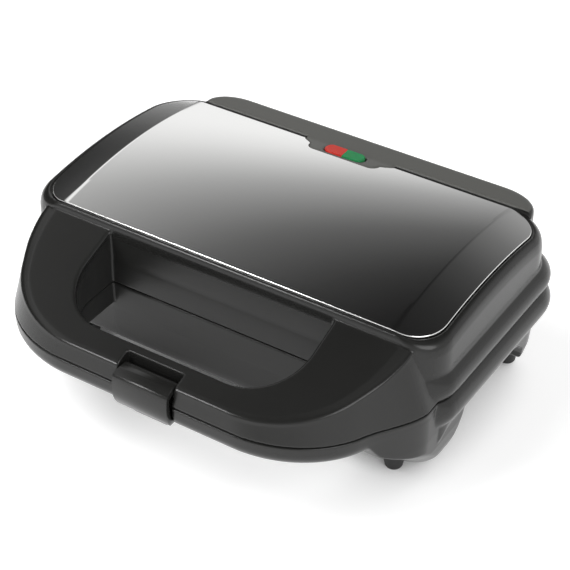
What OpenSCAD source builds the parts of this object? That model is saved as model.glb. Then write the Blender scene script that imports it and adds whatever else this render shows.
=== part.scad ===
// Two-sandwich toaster: a hinged lid over a base, each a moulded housing that
// holds a cooking plate, a heating element and a reflector. Both housings run
// forward into one half of a carrying handle, and a latch at the handle's
// middle holds them shut. Origin: on the table, below the middle of the part.
// +X is the right side, +Y the rear, +Z up.

/* [Sandwiches] */
// Side of each square sandwich pocket
pocket_w = 104; // [98:1:108]
// Width of the rib between the two sandwiches
rib_w = 18; // [16:1:22]

/* [Top plate] */
// How far the steel top plate reaches past the pockets at each end
end_margin = 12; // [11:0.5:16]
// How far the steel top plate reaches past the pockets in front and behind
edge_margin = 13.1; // [12.5:0.1:16]
// Thickness of the steel sheet
plate_t = 1.2; // [0.8:0.1:1.6]
// Corner radius of the steel plate
plate_r = 20; // [14:1:24]
// Height of the plate's front edge above the table
plate_front_z = 100.4; // [97:0.2:102]
// Height of the plate's rear edge above the table
plate_rear_z = 99; // [96:0.2:102]
// Rise of the plate's arch between its front and rear edges
plate_rise = 6.9; // [4:0.1:9]
// Width of the sloping facet at each end of the plate
facet_w = 20; // [12:1:26]
// Fall of the facet from its crease to the plate's end
facet_drop = 4.2; // [2:0.2:5]
// Depth of the notch in the plate's rear edge for the lamp tongue
tongue_d = 11; // [9:0.5:13]
// Width of the lamp tongue at its front
tongue_w = 46; // [40:1:56]

/* [Housings] */
// Height of the plane where lid and base meet
parting_z = 60.5; // [59:0.5:63]
// Gap between the closed housings
parting_gap = 0.6; // [0.4:0.1:1]
// Wall thickness of the mouldings
wall = 2.8; // [2.2:0.1:3.4]
// How far the side walls stand out from the steel plate's outline
wall_out = 6.6; // [5:0.2:8]
// How far the front wall stands out from the steel plate's front edge
front_out = 3.3; // [2.8:0.1:4]
// How far the rounded beads stand out from the side walls
bead_out = 4.8; // [3:0.2:6]
// How far the valley between the beads stands out from the side walls
valley_out = 1.2; // [0.6:0.2:2]
// Height of the lid's bead
bead_h = 15; // [12:0.5:17]
// Height of the base's bead
base_bead_h = 18; // [14:0.5:19]
// Front corner radius of the housings at the beads
front_r = 18; // [14:1:24]
// Rear corner radius of the housings at the beads
rear_r = 26; // [20:1:32]
// Height of the side walls' lower edge above the table
skirt_z = 33.5; // [31:0.5:35]
// Height of the base's flat underside above the table
base_z = 24; // [22:0.5:28]

/* [Handle] */
// Reach of the handle in front of the steel plate
handle_reach = 72.9; // [68:0.1:80]
// How far the handle's sides stand inside the steel plate's ends
handle_inset = 9; // [7:0.5:14]
// Radius of the handle's front corners
handle_r = 50; // [42:1:56]
// Thickness of the upper handle half at its front edge
handle_top_h = 8.6; // [7:0.2:11]
// Thickness of the lower handle half
handle_low_h = 13.6; // [11:0.2:16]
// Slope of the handle's deck, rise over run
deck_slope = 0.35; // [0.3:0.005:0.36]
// Half width of the hand opening
grip_half_w = 72; // [62:1:76]
// Depth of the handle bar in front of the hand opening
bar_d = 17; // [14:1:22]
// Corner radius of the hand opening
grip_r = 32; // [24:1:34]

/* [Hinge] */
// Reach of the lid's rear spine behind the steel plate
spine_reach = 18.6; // [16:0.2:21]
// How far the spine's ends stand inside the steel plate's ends
spine_inset = 9; // [7:0.5:14]
// Width of the rounding at each end of the spine
spine_round = 22; // [17:1:26]
// How far the spine's left end stops short of the right one
spine_short = 12; // [0:1:14]
// Distance of the hinge axis behind the steel plate
hinge_back = 9.4; // [8.6:0.2:10.4]
// Height of the hinge axis below the parting plane
hinge_drop = 4; // [3:0.5:5]
// Radius of the hinge knuckles
knuckle_r = 6; // [5:0.25:6.5]
// Width of each hinge knuckle
knuckle_w = 16; // [10:1:22]
// How far the hinge ears stand inside the spine's ends
hinge_inset = 32; // [30:1:50]
// Radius of the hinge pins
hinge_pin_r = 2.5; // [1.5:0.1:3]
// Radial running clearance of pins in their bores
pin_fit = 0.06; // [0.03:0.01:0.1]

/* [Latch] */
// Width of the latch
latch_w = 34.8; // [28:0.2:40]
// How far the latch stands in front of the handle
latch_proud = 3.4; // [2.8:0.1:4]
// Thickness of the latch's front wall
latch_t = 2.8; // [2.4:0.1:3]
// Radius of the latch pin
latch_pin_r = 1.5; // [1:0.1:1.8]
// Gap on each side of the latch in its notch
latch_gap = 0.5; // [0.3:0.1:1]

/* [Cooking plates] */
// Gap between a cooking plate's edge and the housing wall
cook_gap = 2; // [1.5:0.25:3]
// Thickness of a cooking plate's rim
cook_t = 3; // [2.5:0.25:3.5]
// Depth of the pockets
pocket_depth = 8; // [6:0.5:9]
// Wall thickness behind the pockets
pocket_wall = 2.5; // [2:0.25:3]
// Width of the ridge that halves each sandwich
ridge_w = 5; // [4:0.5:8]
// Radius of the posts on the back of a cooking plate
post_r = 3.6; // [3:0.2:4]

/* [Heating] */
// Radius of the tubular heating elements
element_r = 3.2; // [2.8:0.1:3.4]
// Sheet thickness of the reflector trays
tray_t = 0.8; // [0.6:0.1:1]
// Depth of a reflector tray below the cooking plate's rim
tray_depth = 14; // [13.5:0.25:15]
// Radius of the thermostat
thermostat_r = 7; // [5:0.25:7.5]

/* [Feet and screws] */
// Height of the rubber feet below the front legs
front_foot_h = 12; // [10:0.5:14]
// Height of the rubber feet below the rear legs
rear_foot_h = 14; // [12:0.5:16]
// Radius of a foot on the table
foot_r = 5; // [4.5:0.25:5.5]
// How far the front feet stand inside the steel plate's ends
front_foot_inset = 21.5; // [20:0.5:24]
// How far the rear feet stand inside the steel plate's ends
rear_foot_inset = 11; // [10:0.5:14]
// Radius of the plate screws
screw_r = 1.5; // [1.2:0.1:1.8]

/* [Lamps] */
// Length of the pair of lenses
lens_l = 26; // [22:1:30]
// Width of the lenses
lens_w = 8.6; // [7:0.2:9]
// How far the lenses stand above the tongue
lens_up = 1; // [0.6:0.1:1.4]

/* [Hidden] */
$fn = 48;
corner_n = 7;                     // facets in each housing corner
side_n = 6;                       // facets along each housing side
bead_n = 7;                       // facets over each bead

black = [0.10, 0.10, 0.10];
steel = [0.75, 0.75, 0.76];
grey = [0.32, 0.32, 0.33];

// The steel plate spans both sandwiches and their margins
plate_w = 2 * (pocket_w + end_margin) + rib_w;
plate_d = pocket_w + 2 * edge_margin;
handle_half_w = plate_w / 2 - handle_inset;
spine_half_w = plate_w / 2 - spine_inset;
hinge_x = spine_half_w - hinge_inset;
front_foot_x = plate_w / 2 - front_foot_inset;
rear_foot_x = plate_w / 2 - rear_foot_inset;

// Places in depth. The part's extreme points are the latch and the spine.
front_reach = plate_d / 2 + handle_reach + latch_proud;
rear_reach = plate_d / 2 + spine_reach;
plate_y = (front_reach - rear_reach) / 2;
plate_front = plate_y - plate_d / 2;
plate_rear = plate_y + plate_d / 2;
handle_front = plate_front - handle_reach;
crease_x = plate_w / 2 - facet_w;

lid_z = parting_z + parting_gap / 2;      // lowest plane of the lid
base_top = parting_z - parting_gap / 2;   // highest plane of the base
fit = 0.15;                               // play of parts set into another
deck_drop = plate_t + fit;                // the lid's deck below the steel plate's face
wall_in = wall_out - wall;                // how far the cavities stand out
seat_e = -0.6;                            // edge of the deck under the steel plate
lid_bead_less = 0.8;                      // the lid's bead stands out less
lip_drop = 7.5;                           // height of the rounded lip round the plate
spine_top = plate_rear_z + 0.6;
spine_front = plate_rear + 2.2;
grip_front = handle_front + bar_d;

hinge_y = plate_rear + hinge_back;
hinge_z = parting_z - hinge_drop;
hinge_play = 0.4;                         // gap between neighbouring knuckles
lid_knuckle_w = 10;
relief_gap = 0.8;                         // base wall to lid knuckles
relief_y = hinge_y - knuckle_r - relief_gap;
relief_z = hinge_z - knuckle_r - 5;
relief_x = spine_half_w + 1.5;
room_rear = relief_y - wall;              // rear wall of the cavities

cook_half_w = plate_w / 2 + wall_in - cook_gap;
cook_front = plate_front - front_out + wall + cook_gap;
cook_rear = room_rear - cook_gap;
cook_y = (cook_front + cook_rear) / 2;
cook_half_d = (cook_rear - cook_front) / 2;
cook_front_r = front_r - wall - cook_gap;
cook_rear_r = rear_r - wall - cook_gap;
square_x = (rib_w + pocket_w) / 2;        // middle of a sandwich
tray_z = cook_t + tray_depth;             // tray's outer face above the parting face
screw_y = pocket_w / 2 - 10;              // screws in the rib between the sandwiches
screw_places = [[0, -screw_y], [0, screw_y], [square_x, 0], [-square_x, 0]];
screw_seat = tray_z + 8;                  // underside of the screw heads
head_r = 2 * screw_r;

latch_y = handle_front + 7.6;             // latch axis
latch_z = parting_z + 6;
latch_pin_seat = 6;                       // the latch pin's hold in the lid, each side
latch_pin_l = latch_w + 2 * latch_pin_seat;
notch_lead = 3;                           // the notch's cut starts in front of the handle
lens_y = plate_rear - tongue_d / 2 + 0.4;
lamp_z = plate_rear_z - 7;                // underside of the lens block
lamp_post_h = 8;                          // posts that carry the lamp holder
holder_t = 2;
holder_d = 10;
holder_z = lamp_z - lamp_post_h - holder_t - fit / 3;
holder_head_h = 1.7;                      // heads of the holder's screws
notch_depth = 12.2;                       // the latch's notch in the lid's handle
cut_over = 10;                            // how far a cut runs past the face it opens
gland_x = -square_x - 11;
gland_z = relief_z - 4.5;
gland_r = 4.4;
gland_face = plate_rear + wall_out + 0.4; // flat seat of the gland's outer flange
terminal_x = square_x + 1;
terminal_y = cook_rear - 22;

// ---- Curves ----

// Points of an arc, from angle a0 to a1
function arc(cx, cy, r, a0, a1, n) =
    [for (i = [0:n]) let (a = a0 + (a1 - a0) * i / n) [cx + r * cos(a), cy + r * sin(a)]];

// Right half of a rounded rectangle that is centred on X, from front to rear
function half_rect(hw, y0, y1, rf, rr) = concat(
    arc(hw - rf, y0 + rf, rf, -90, 0, corner_n),
    [for (i = [1:side_n - 1]) [hw, y0 + rf + (y1 - rr - y0 - rf) * i / side_n]],
    arc(hw - rr, y1 - rr, rr, 0, 90, corner_n));

// A half outline and its mirror image, as one closed outline
function mirrored(h) = concat(h, [for (i = [len(h) - 1:-1:0]) [-h[i][0], h[i][1]]]);
function lift(outline, z) = [for (p = outline) [p[0], p[1], z]];
function shift(outline, dx) = [for (p = outline) [p[0] + dx, p[1]]];
function mix(a, b, t) = a + (b - a) * t;
function clamp01(t) = min(max(t, 0), 1);
function smooth(t) = let (u = clamp01(t)) u * u * (3 - 2 * u);

// Height of the steel plate's top face, an arch with a facet at each end
function crown_z(y) = let (t = clamp01((y - plate_front) / plate_d))
    mix(plate_front_z, plate_rear_z, t) + plate_rise * 4 * t * (1 - t);
function plate_z(x, y) = crown_z(y) - facet_drop * clamp01((abs(x) - crease_x) / facet_w);

// The steel plate's outline, let out by e, with corners that turn to the walls' radii.
// The front lets out less, and the front and rear draw in less than the sides.
draw_in = 0.15;
function front_y(e) = plate_front - (e > 0 ? e * front_out / wall_out : e * draw_in);
function rear_y(e) = plate_rear + (e > 0 ? e : e * draw_in);
function plan(e) = let (t = clamp01(e / wall_out))
    mirrored(half_rect(plate_w / 2 + e, front_y(e), rear_y(e),
                       mix(plate_r, front_r, t), mix(plate_r, rear_r, t)));
function flat_ring(e, z) = lift(plan(e), z);
// A ring that follows the plate's edge at a given drop
function edge_ring(e, drop) = let (p = plan(e), q = plan(0))
    [for (i = [0:len(p) - 1]) [p[i][0], p[i][1], plate_z(q[i][0], q[i][1]) - drop]];
// The plate's crease line, where the arch turns into the end facets
function crease_ring(drop) = let (r = 2)
    [for (p = mirrored(half_rect(crease_x, plate_front + facet_w, plate_rear - facet_w, r, r)))
        [p[0], p[1], crown_z(p[1]) - drop]];
// A bead dies away round the front corners, so that the front wall is plain
function bead_share(y) = smooth((y - plate_front + 10) / 30);
function bead_ring(e, out, z) = let (p = plan(e), q = plan(e + out))
    [for (i = [0:len(p) - 1]) let (m = mix(p[i], q[i], bead_share(p[i][1]))) [m[0], m[1], z]];
// A bead's rings, from outset e0 at height z0 to e1 at z1
function bead(z0, e0, z1, e1, out) = [for (i = [0:bead_n]) let (t = i / bead_n)
    bead_ring(mix(e0, e1, t), out * pow(sin(180 * t), 0.7), mix(z0, z1, t))];
// Outline of the cavities
function room(e) = mirrored(half_rect(plate_w / 2 + e, front_y(e + wall) + wall,
                                      min(room_rear, rear_y(e + wall) - wall),
                                      front_r - wall, rear_r - wall));
// Outline of a cooking plate, drawn in by d
function cook_outline(d) = mirrored(half_rect(cook_half_w - d, cook_front + d, cook_rear - d,
                                              cook_front_r - d / 2, cook_rear_r - d / 2));

// A closed solid through rings of equal count, capped by strips from side to side
module loft(rings) {
    n = len(rings[0]);
    m = len(rings);
    last = (m - 1) * n;
    sides = [for (k = [0:m - 2]) for (i = [0:n - 1]) let (j = (i + 1) % n)
        each [[k * n + i, (k + 1) * n + i, (k + 1) * n + j],
              [k * n + i, (k + 1) * n + j, k * n + j]]];
    floor_cap = [for (i = [0:n / 2 - 2])
        each [[i, i + 1, n - 2 - i], [i, n - 2 - i, n - 1 - i]]];
    roof_cap = [for (i = [0:n / 2 - 2])
        each [[last + i, last + n - 2 - i, last + i + 1],
              [last + i, last + n - 1 - i, last + n - 2 - i]]];
    polyhedron([for (r = rings) each r], concat(sides, floor_cap, roof_cap), convexity = 8);
}

// A closed solid between two convex outlines of equal count
module frustum(low, high) {
    n = len(low);
    polyhedron(concat(low, high), concat(
        [for (i = [0:n - 1]) let (j = (i + 1) % n) each [[i, n + i, n + j], [i, n + j, j]]],
        [for (i = [1:n - 2]) [0, i, i + 1]],
        [for (i = [1:n - 2]) [n, n + i + 1, n + i]]));
}

module both_sides() {
    children();
    mirror([1, 0, 0]) children();
}

// A rod along X, centred on x
module rod(x, y, z, r, l) translate([x - l / 2, y, z]) rotate([0, 90, 0]) cylinder(h = l, r = r);

// A slab whose side profile is a list of [y, z] points, centred on x
module side_slab(profile, x, w) translate([x - w / 2, 0, 0]) rotate([90, 0, 90])
    linear_extrude(w) polygon(profile);

// ---- Handle: right half of its outlines, from the front edge to the body ----

shoulder = handle_r + 2;                   // depth of the rounded front corner
flare_start = handle_r - 16;               // where the side begins to flare out
flare_end = handle_reach - 4;              // where it meets the body's corner
body_corner_x = plate_w / 2 + wall_out - 1.2;
corner_run = 62;                           // width of the rounded front corner
handle_bend = 1.02;                        // 1 is an ellipse, more is flatter
corner_cx = handle_half_w - corner_run;    // where the front edge starts to turn

function handle_outline(cx, rx, inset, bend, x_end, y_end) =
    let (bow = concat(
            [for (i = [0:9]) let (a = 10 * i) [cx + rx * pow(sin(a), bend),
                shoulder - (shoulder - inset) * pow(cos(a), bend)]],
            [for (i = [1:6]) [cx + rx, mix(shoulder, flare_end, i / 6)]],
            [[cx + rx, y_end]]))
    mirrored([for (p = bow) [p[0] + (x_end - cx - rx) *
        smooth((p[1] - flare_start) / (flare_end - flare_start)), handle_front + p[1]]]);

// Where the halves meet, drawn in by d; the upper edge; the flat deck inside its bevel
function handle_ring(d) = handle_outline(corner_cx, corner_run - d, d, handle_bend, body_corner_x - d,
                                         handle_reach + 6);
function handle_edge() = handle_outline(corner_cx - 4, corner_run - 1, 2.9, handle_bend,
                                        handle_half_w + 2, handle_reach);
function handle_deck() = handle_outline(corner_cx - 8, corner_run - 3, 5.2, 1, handle_half_w - 6,
                                        handle_reach);
// Height of the deck, which falls from the lid's lip to the front
function deck_z(y) = lid_z + handle_top_h + 1 + deck_slope * (y - handle_front);
function on_deck(outline, drop) = [for (p = outline) [p[0], p[1], deck_z(p[1]) - drop]];
// A ring part of the way from the parting plane to the deck's edge
function draft_ring(t) = let (a = lift(handle_ring(0), lid_z), b = on_deck(handle_edge(), 2.4))
    [for (i = [0:len(a) - 1]) mix(a[i], b[i], t)];
function grip_outline(d) = mirrored(half_rect(grip_half_w + d, grip_front - d,
                                              plate_front - front_out + 0.6, grip_r + d, 2));

module upper_handle() {
    rim = 0.8;                             // bevel round the hand opening
    rings = concat([for (t = [0, 0.35, 0.7, 1]) draft_ring(t)],
                   [[for (i = [0:len(handle_edge()) - 1])
                        mix(on_deck(handle_edge(), 1.3)[i], on_deck(handle_deck(), 1.3)[i], 0.12)],
                    on_deck(handle_deck(), 0)]);
    difference() {
        loft(rings);
        loft([lift(grip_outline(0), lid_z - 1), on_deck(grip_outline(0), rim),
              on_deck(grip_outline(rim), 0), on_deck(grip_outline(rim), -9)]);
    }
}

module lower_handle() {
    bottom = base_top - handle_low_h;
    r = handle_low_h * 0.6;                // rounding of the bottom edge
    rings = concat([for (a = [0, 20, 40, 60, 80])
                        lift(handle_ring(r * (1 - sin(a))), bottom + r * (1 - cos(a)))],
                   [lift(handle_ring(0), bottom + r), lift(handle_ring(0), base_top)]);
    difference() {
        loft(rings);
        loft([lift(grip_outline(0), bottom - 1), lift(grip_outline(0), base_top + 1)]);
    }
}

// ---- Lower housing ----

module base_body() {
    loft(concat([flat_ring(-18, base_z), flat_ring(-15.5, base_z + 0.8), flat_ring(1, skirt_z - 0.8),
                 flat_ring(4.2, skirt_z), flat_ring(wall_out - 0.6, skirt_z + 2.4),
                 flat_ring(wall_out + 0.3, skirt_z + 6)],
                bead(base_top - base_bead_h, wall_out + 0.6, base_top, wall_out + valley_out, bead_out)));
}

// The leg's skin runs on from the handle's flaring side; its block cuts it out
module front_leg() {
    foot = front_foot_h;
    // rows: height, how far the skin is drawn in
    skin = [[foot, 5.5], [foot + 1.5, 4], [foot + 4, 2.8], [foot + 8, 1.6], [foot + 16, 0.6], [foot + 28, 0.1],
            [base_top - 4, 0.1]];
    leg_rear_r = 12;
    // rows: height, inner side, outer side, front and rear side, radius of the front corners
    block = [[foot, -33, -5.2, 4.3, 34, 15.5], [foot + 2, -33, -3.8, 1.8, 36, 15.5],
             [foot + 6, -33, -2, -1.5, 38, 15.5], [foot + 12, -33.5, -0.6, -7, 40.5, 16],
             [foot + 18, -34, 0, -14, 43, 16], [foot + 24, -35, 0, -22, 46, 17],
             [foot + 30, -37, 0, -30, 49, 18], [base_top - 4, -39, 0, -38, 53, 18]];
    intersection() {
        loft([for (q = skin) lift(handle_outline(corner_cx, corner_run - q[1], q[1], handle_bend,
                                                 body_corner_x + 0.2 - q[1], handle_reach + 56), q[0])]);
        loft([for (q = block) let (inner = plate_w / 2 + q[1], outer = body_corner_x + 0.3 + q[2])
            lift(shift(mirrored(half_rect((outer - inner) / 2, plate_front + q[3], plate_front + q[4],
                                          q[5], leg_rear_r)), (outer + inner) / 2), q[0])]);
    }
}

module rear_leg() {
    inner_x = plate_w / 2 - 30;
    intersection() {
        loft([flat_ring(0.6, rear_foot_h), flat_ring(2.6, rear_foot_h + 2.4),
              flat_ring(wall_out - 2, rear_foot_h + 10), flat_ring(wall_out - 0.8, skirt_z + 4)]);
        side_slab([[plate_rear + 10, rear_foot_h - 1], [plate_rear + 10, skirt_z + 4],
                   [plate_rear - 40, skirt_z + 4], [plate_rear - 35, skirt_z + 0.4],
                   [plate_rear - 29, skirt_z - 1.8], [plate_rear - 25, skirt_z - 5],
                   [plate_rear - 22, skirt_z - 10], [plate_rear - 19.5, rear_foot_h + 1],
                   [plate_rear - 18, rear_foot_h - 1]], inner_x + 30, 60);
    }
}

module base_room() {
    loft([lift(room(-21.5), base_z + wall), lift(room(-19.5), base_z + wall + 0.6),
          lift(room(-3), skirt_z + 1), lift(room(wall_in - 2), skirt_z + 2.2),
          lift(room(wall_in), skirt_z + 6), lift(room(wall_in), base_top + 1)]);
}

module ear_base() {
    rod(hinge_x, hinge_y, hinge_z, knuckle_r, knuckle_w);
    translate([hinge_x - knuckle_w / 2, relief_y - 1, hinge_z - knuckle_r])
        cube([knuckle_w, knuckle_r + relief_gap + 1, knuckle_r + hinge_drop - parting_gap - 0.6]);
}

module lower_housing() {
    color(black) difference() {
        union() {
            difference() {
                union() {
                    base_body();
                    lower_handle();
                    both_sides() front_leg();
                    both_sides() rear_leg();
                }
                base_room();
                translate([-relief_x, relief_y, relief_z])
                    cube([2 * relief_x, 30, base_top + 1 - relief_z]);
            }
            both_sides() ear_base();
            for (p = screw_places) translate([p[0], cook_y + p[1], base_z + 1])
                cylinder(h = base_top - tray_z - fit - base_z - 1, r = head_r + 2.4);
            translate([terminal_x, terminal_y, base_z + 1]) cylinder(h = wall + 1, r = 3.4);
        }
        both_sides() rod(hinge_x, hinge_y, hinge_z, hinge_pin_r, knuckle_w + 2);
        for (p = screw_places) translate([p[0], cook_y + p[1], base_z - 1]) {
            cylinder(h = base_top - screw_seat - base_z + 1, r = head_r + 0.4);
            cylinder(h = base_top - base_z, r = screw_r + 0.2);
        }
        translate([-latch_w / 2 - latch_gap, handle_front - notch_lead, base_top - handle_low_h - 1])
            cube([latch_w + 2 * latch_gap, notch_lead + 4.5, handle_low_h + 2]);
        both_sides() {
            translate([front_foot_x, front_foot_y, front_foot_h - 1]) cylinder(h = stem_h + 1.3, r = stem_r + 0.05);
            translate([rear_foot_x, rear_foot_y, rear_foot_h - 1]) cylinder(h = stem_h + 1.3, r = stem_r + 0.05);
        }
        translate([gland_x, 0, gland_z]) rotate([-90, 0, 0]) {
            translate([0, 0, room_rear - 1]) cylinder(h = 20, r = gland_r + 0.1);
            translate([0, 0, gland_face]) cylinder(h = 20, r = gland_r + 1.7);
        }
        translate([terminal_x, terminal_y, base_z + wall - 1]) cylinder(h = 5, r = terminal_screw_r + 0.03);
    }
}

// ---- Upper housing ----

module lid_body() {
    bead_top = lid_z + bead_h;
    loft(concat(bead(lid_z, wall_out + valley_out, bead_top, wall_out + 0.2, bead_out - lid_bead_less),
                [flat_ring(wall_out, bead_top + 4), edge_ring(wall_out - 0.4, lip_drop),
                 edge_ring(wall_out - 1.2, lip_drop - 3.3), edge_ring(4, 2.2), edge_ring(2.2, 1),
                 edge_ring(0.9, 0.8), edge_ring(0.5, deck_drop + 0.8), edge_ring(seat_e, deck_drop),
                 crease_ring(deck_drop)]));
}

module lid_room() {
    loft([lift(room(wall_in), lid_z - 1), lift(room(wall_in), lid_z + bead_h),
          edge_ring(wall_in - 1.6, lip_drop + 2.5), edge_ring(-1, lip_drop - 1.5),
          edge_ring(-3, deck_drop + wall), crease_ring(deck_drop + wall)]);
}

// One end of the spine's outline, from its front corner to its rear edge
function spine_end(half_w, draw) = let (y0 = spine_front + 1.5, y1 = plate_rear + spine_reach - draw,
                                        n = 2 * corner_n)
    concat([[half_w - draw, spine_front]], [for (i = [0:n]) let (a = 90 * i / n)
        [half_w - draw - spine_round * (1 - cos(a)), y0 + (y1 - y0) * sin(a)]]);

module spine() {
    // rows: height, how far the sides and the rear are drawn in
    rows = [[lid_z, 1.6], [lid_z + 1.2, 0.4], [lid_z + 4, 0], [spine_top - 3.6, 0], [spine_top - 2, 0.5],
            [spine_top - 0.8, 1.5], [spine_top - 0.2, 2.7], [spine_top, 4]];
    loft([for (q = rows) let (right = spine_end(spine_half_w, q[1]),
                              left = spine_end(spine_half_w - spine_short, q[1]))
        lift(concat(right, [for (i = [len(left) - 1:-1:0]) [-left[i][0], left[i][1]]]), q[0])]);
}

// Outline of the lamp tongue, let out by d
function tongue(d) = let (r = 5, y0 = plate_rear - tongue_d)
    mirrored(concat(arc(tongue_w / 2 - r, y0 + r, r + d, -90, -10, 5),
        [for (i = [1:5]) [tongue_w / 2 + d + 6.5 * smooth(i / 5), mix(y0 + r, plate_rear - 0.5, i / 5)]],
        [[tongue_w / 2 + d + 6.5, spine_front + 1]]));
tongue_up = 0.5;                          // the tongue stands above the steel plate

// A pill-shaped prism round the lenses, let out by d
module pill(z0, z1, d) {
    r = lens_w / 2 + d;
    reach = (lens_l - lens_w) / 2;
    translate([0, lens_y, z0]) {
        translate([-reach, 0, 0]) cylinder(h = z1 - z0, r = r);
        translate([reach, 0, 0]) cylinder(h = z1 - z0, r = r);
        translate([-reach, -r, 0]) cube([2 * reach, 2 * r, z1 - z0]);
    }
}

module knuckle_lid(x) {
    rod(x, hinge_y, hinge_z, knuckle_r, lid_knuckle_w);
    translate([x - lid_knuckle_w / 2, hinge_y - knuckle_r, hinge_z])
        cube([lid_knuckle_w, 2 * knuckle_r, hinge_drop + 2]);
}
knuckle_step = (knuckle_w + lid_knuckle_w) / 2 + hinge_play;

module upper_housing() {
    color(black) difference() {
        union() {
            difference() {
                union() {
                    lid_body();
                    upper_handle();
                    spine();
                    loft([lift(tongue(0), plate_rear_z - 5),
                          [for (p = tongue(0)) [p[0], p[1], crown_z(p[1]) + tongue_up]]]);
                }
                lid_room();
                side_slab([[room_rear - 4, lid_z + 9], [plate_rear + spine_reach - wall, lid_z + 9],
                           [plate_rear + spine_reach - wall, spine_top - 10],
                           [plate_rear + spine_reach - wall - 6, spine_top - wall - 1],
                           [spine_front + wall, spine_top - wall - 1], [room_rear - 4, plate_rear_z - 12]],
                          -spine_short / 2, 2 * (spine_half_w - spine_round) - spine_short);
            }
            both_sides() for (s = [-1, 1]) knuckle_lid(hinge_x + s * knuckle_step);
            for (p = screw_places) translate([p[0], cook_y + p[1], lid_z + tray_z + fit])
                cylinder(h = crown_z(cook_y + p[1]) - deck_drop - 1 - lid_z - tray_z, r = head_r + 2.4);
            translate([-lamp_block / 2, lens_y - 6.5, lamp_z]) cube([lamp_block, 12, 6]);
            for (s = [-1, 1]) translate([s * lamp_post_x, lens_y, lamp_z - lamp_post_h])
                cylinder(h = lamp_post_h + 1, r = 2.8);
        }
        both_sides() {
            rod(hinge_x, hinge_y, hinge_z, knuckle_r + 2, knuckle_w + 2 * hinge_play);
            for (s = [-1, 1]) rod(hinge_x + s * knuckle_step, hinge_y, hinge_z,
                                  hinge_pin_r + pin_fit, lid_knuckle_w + 2);
        }
        for (p = screw_places) translate([p[0], cook_y + p[1], lid_z]) {
            translate([0, 0, screw_seat]) cylinder(h = plate_rear_z - lid_z, r = head_r + 0.4);
            cylinder(h = screw_seat + 1, r = screw_r + 0.2);
        }
        translate([-latch_w / 2 - latch_gap, handle_front - notch_lead, lid_z - 1])
            cube([latch_w + 2 * latch_gap, notch_lead + notch_depth, 2 * handle_top_h + 3]);
        rod(0, latch_y, latch_z, latch_pin_r, latch_pin_l + 1);
        pill(lamp_z - 1, plate_rear_z + cut_over, 0.1);
        for (s = [-1, 1]) translate([s * lamp_post_x, lens_y, lamp_z - lamp_post_h - 1])
            cylinder(h = lamp_post_h, r = 1);
    }
}
lamp_block = lens_l + 16;
lamp_post_x = lens_l / 2 + 5.2;

// ---- Steel plate ----

module top_plate() {
    bevel = 0.5;
    color(steel) difference() {
        loft([edge_ring(-bevel, plate_t), edge_ring(0, plate_t - 0.2), edge_ring(0, bevel),
              edge_ring(-bevel, 0), crease_ring(0)]);
        loft([edge_ring(seat_e, plate_t + 2), edge_ring(seat_e, plate_t), crease_ring(plate_t)]);
        translate([0, 0, plate_rear_z - 8]) linear_extrude(20) polygon(tongue(0.4));
    }
}

// ---- Cooking plates, elements and reflectors, built upward from the parting face ----

// Rounded triangle with its right angle at the origin, drawn in by d
function triangle(d) = let (r = 5, w = pocket_w - ridge_w / sqrt(2), c = d + r, far = w - c * (1 + sqrt(2)))
    concat(arc(c, c, r, 180, 270, 4), arc(far, c, r, 270, 405, 5), arc(c, far, r, 45, 180, 5));

// One pocket's solid: from its mouth at z0 to a smaller outline at z1
module pocket(z0, z1, d0, d1) frustum(lift(triangle(d0), z0), lift(triangle(d1), z1));

module pockets(z0, z1, d0, d1) {
    for (side = [-1, 1]) translate([side * square_x, cook_y, 0]) mirror([side < 0 ? 1 : 0, 0, 0])
        for (turn = [0, 180]) rotate([0, 0, turn]) translate([-pocket_w / 2, -pocket_w / 2, 0])
            pocket(z0, z1, d0, d1);
}
pocket_slope = 5;                          // how far a pocket's walls lean in

module cooking_plate() {
    back = pocket_depth + pocket_wall;
    difference() {
        union() {
            linear_extrude(cook_t) polygon(cook_outline(0));
            pockets(cook_t - 0.5, back, 2.5 - pocket_wall, pocket_slope - pocket_wall + 1.5);
            for (p = screw_places) translate([p[0], cook_y + p[1], cook_t - 1])
                cylinder(h = tray_depth - tray_t - fit + 1, r = post_r);
        }
        pockets(-0.5, pocket_depth, 2, pocket_slope + 2);
        for (p = screw_places) translate([p[0], cook_y + p[1], back + 0.6])
            cylinder(h = tray_depth, r = screw_r);
    }
}

element_x = cook_half_w - element_r - 2.4;
element_d = cook_half_d - element_r - 2.4;
element_z = cook_t + element_r + 0.05;
element_r_bend = cook_rear_r - 5.2;
element_gap = 24;                          // half the gap between the element's ends

module heating_element() {
    b = element_r_bend;
    module bend(x, y, turn) translate([x, y, element_z]) rotate([0, 0, turn])
        rotate_extrude(angle = 90) translate([b, 0]) circle(r = element_r, $fn = 24);
    translate([0, cook_y, 0]) {
        rod(0, -element_d, element_z, element_r, 2 * (element_x - b));
        for (s = [-1, 1]) {
            translate([s * element_x, element_d - b, element_z]) rotate([90, 0, 0])
                cylinder(h = 2 * (element_d - b), r = element_r);
            rod(s * (element_x - b + element_gap) / 2, element_d, element_z, element_r,
                element_x - b - element_gap);
            translate([s * element_gap, element_d, element_z]) sphere(r = element_r, $fn = 24);
            translate([s * element_gap, element_d, element_z]) cylinder(h = tray_depth, r = 1.8);
        }
        bend(element_x - b, element_d - b, 0);
        bend(-element_x + b, element_d - b, 90);
        bend(-element_x + b, -element_d + b, 180);
        bend(element_x - b, -element_d + b, 270);
    }
}

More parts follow.
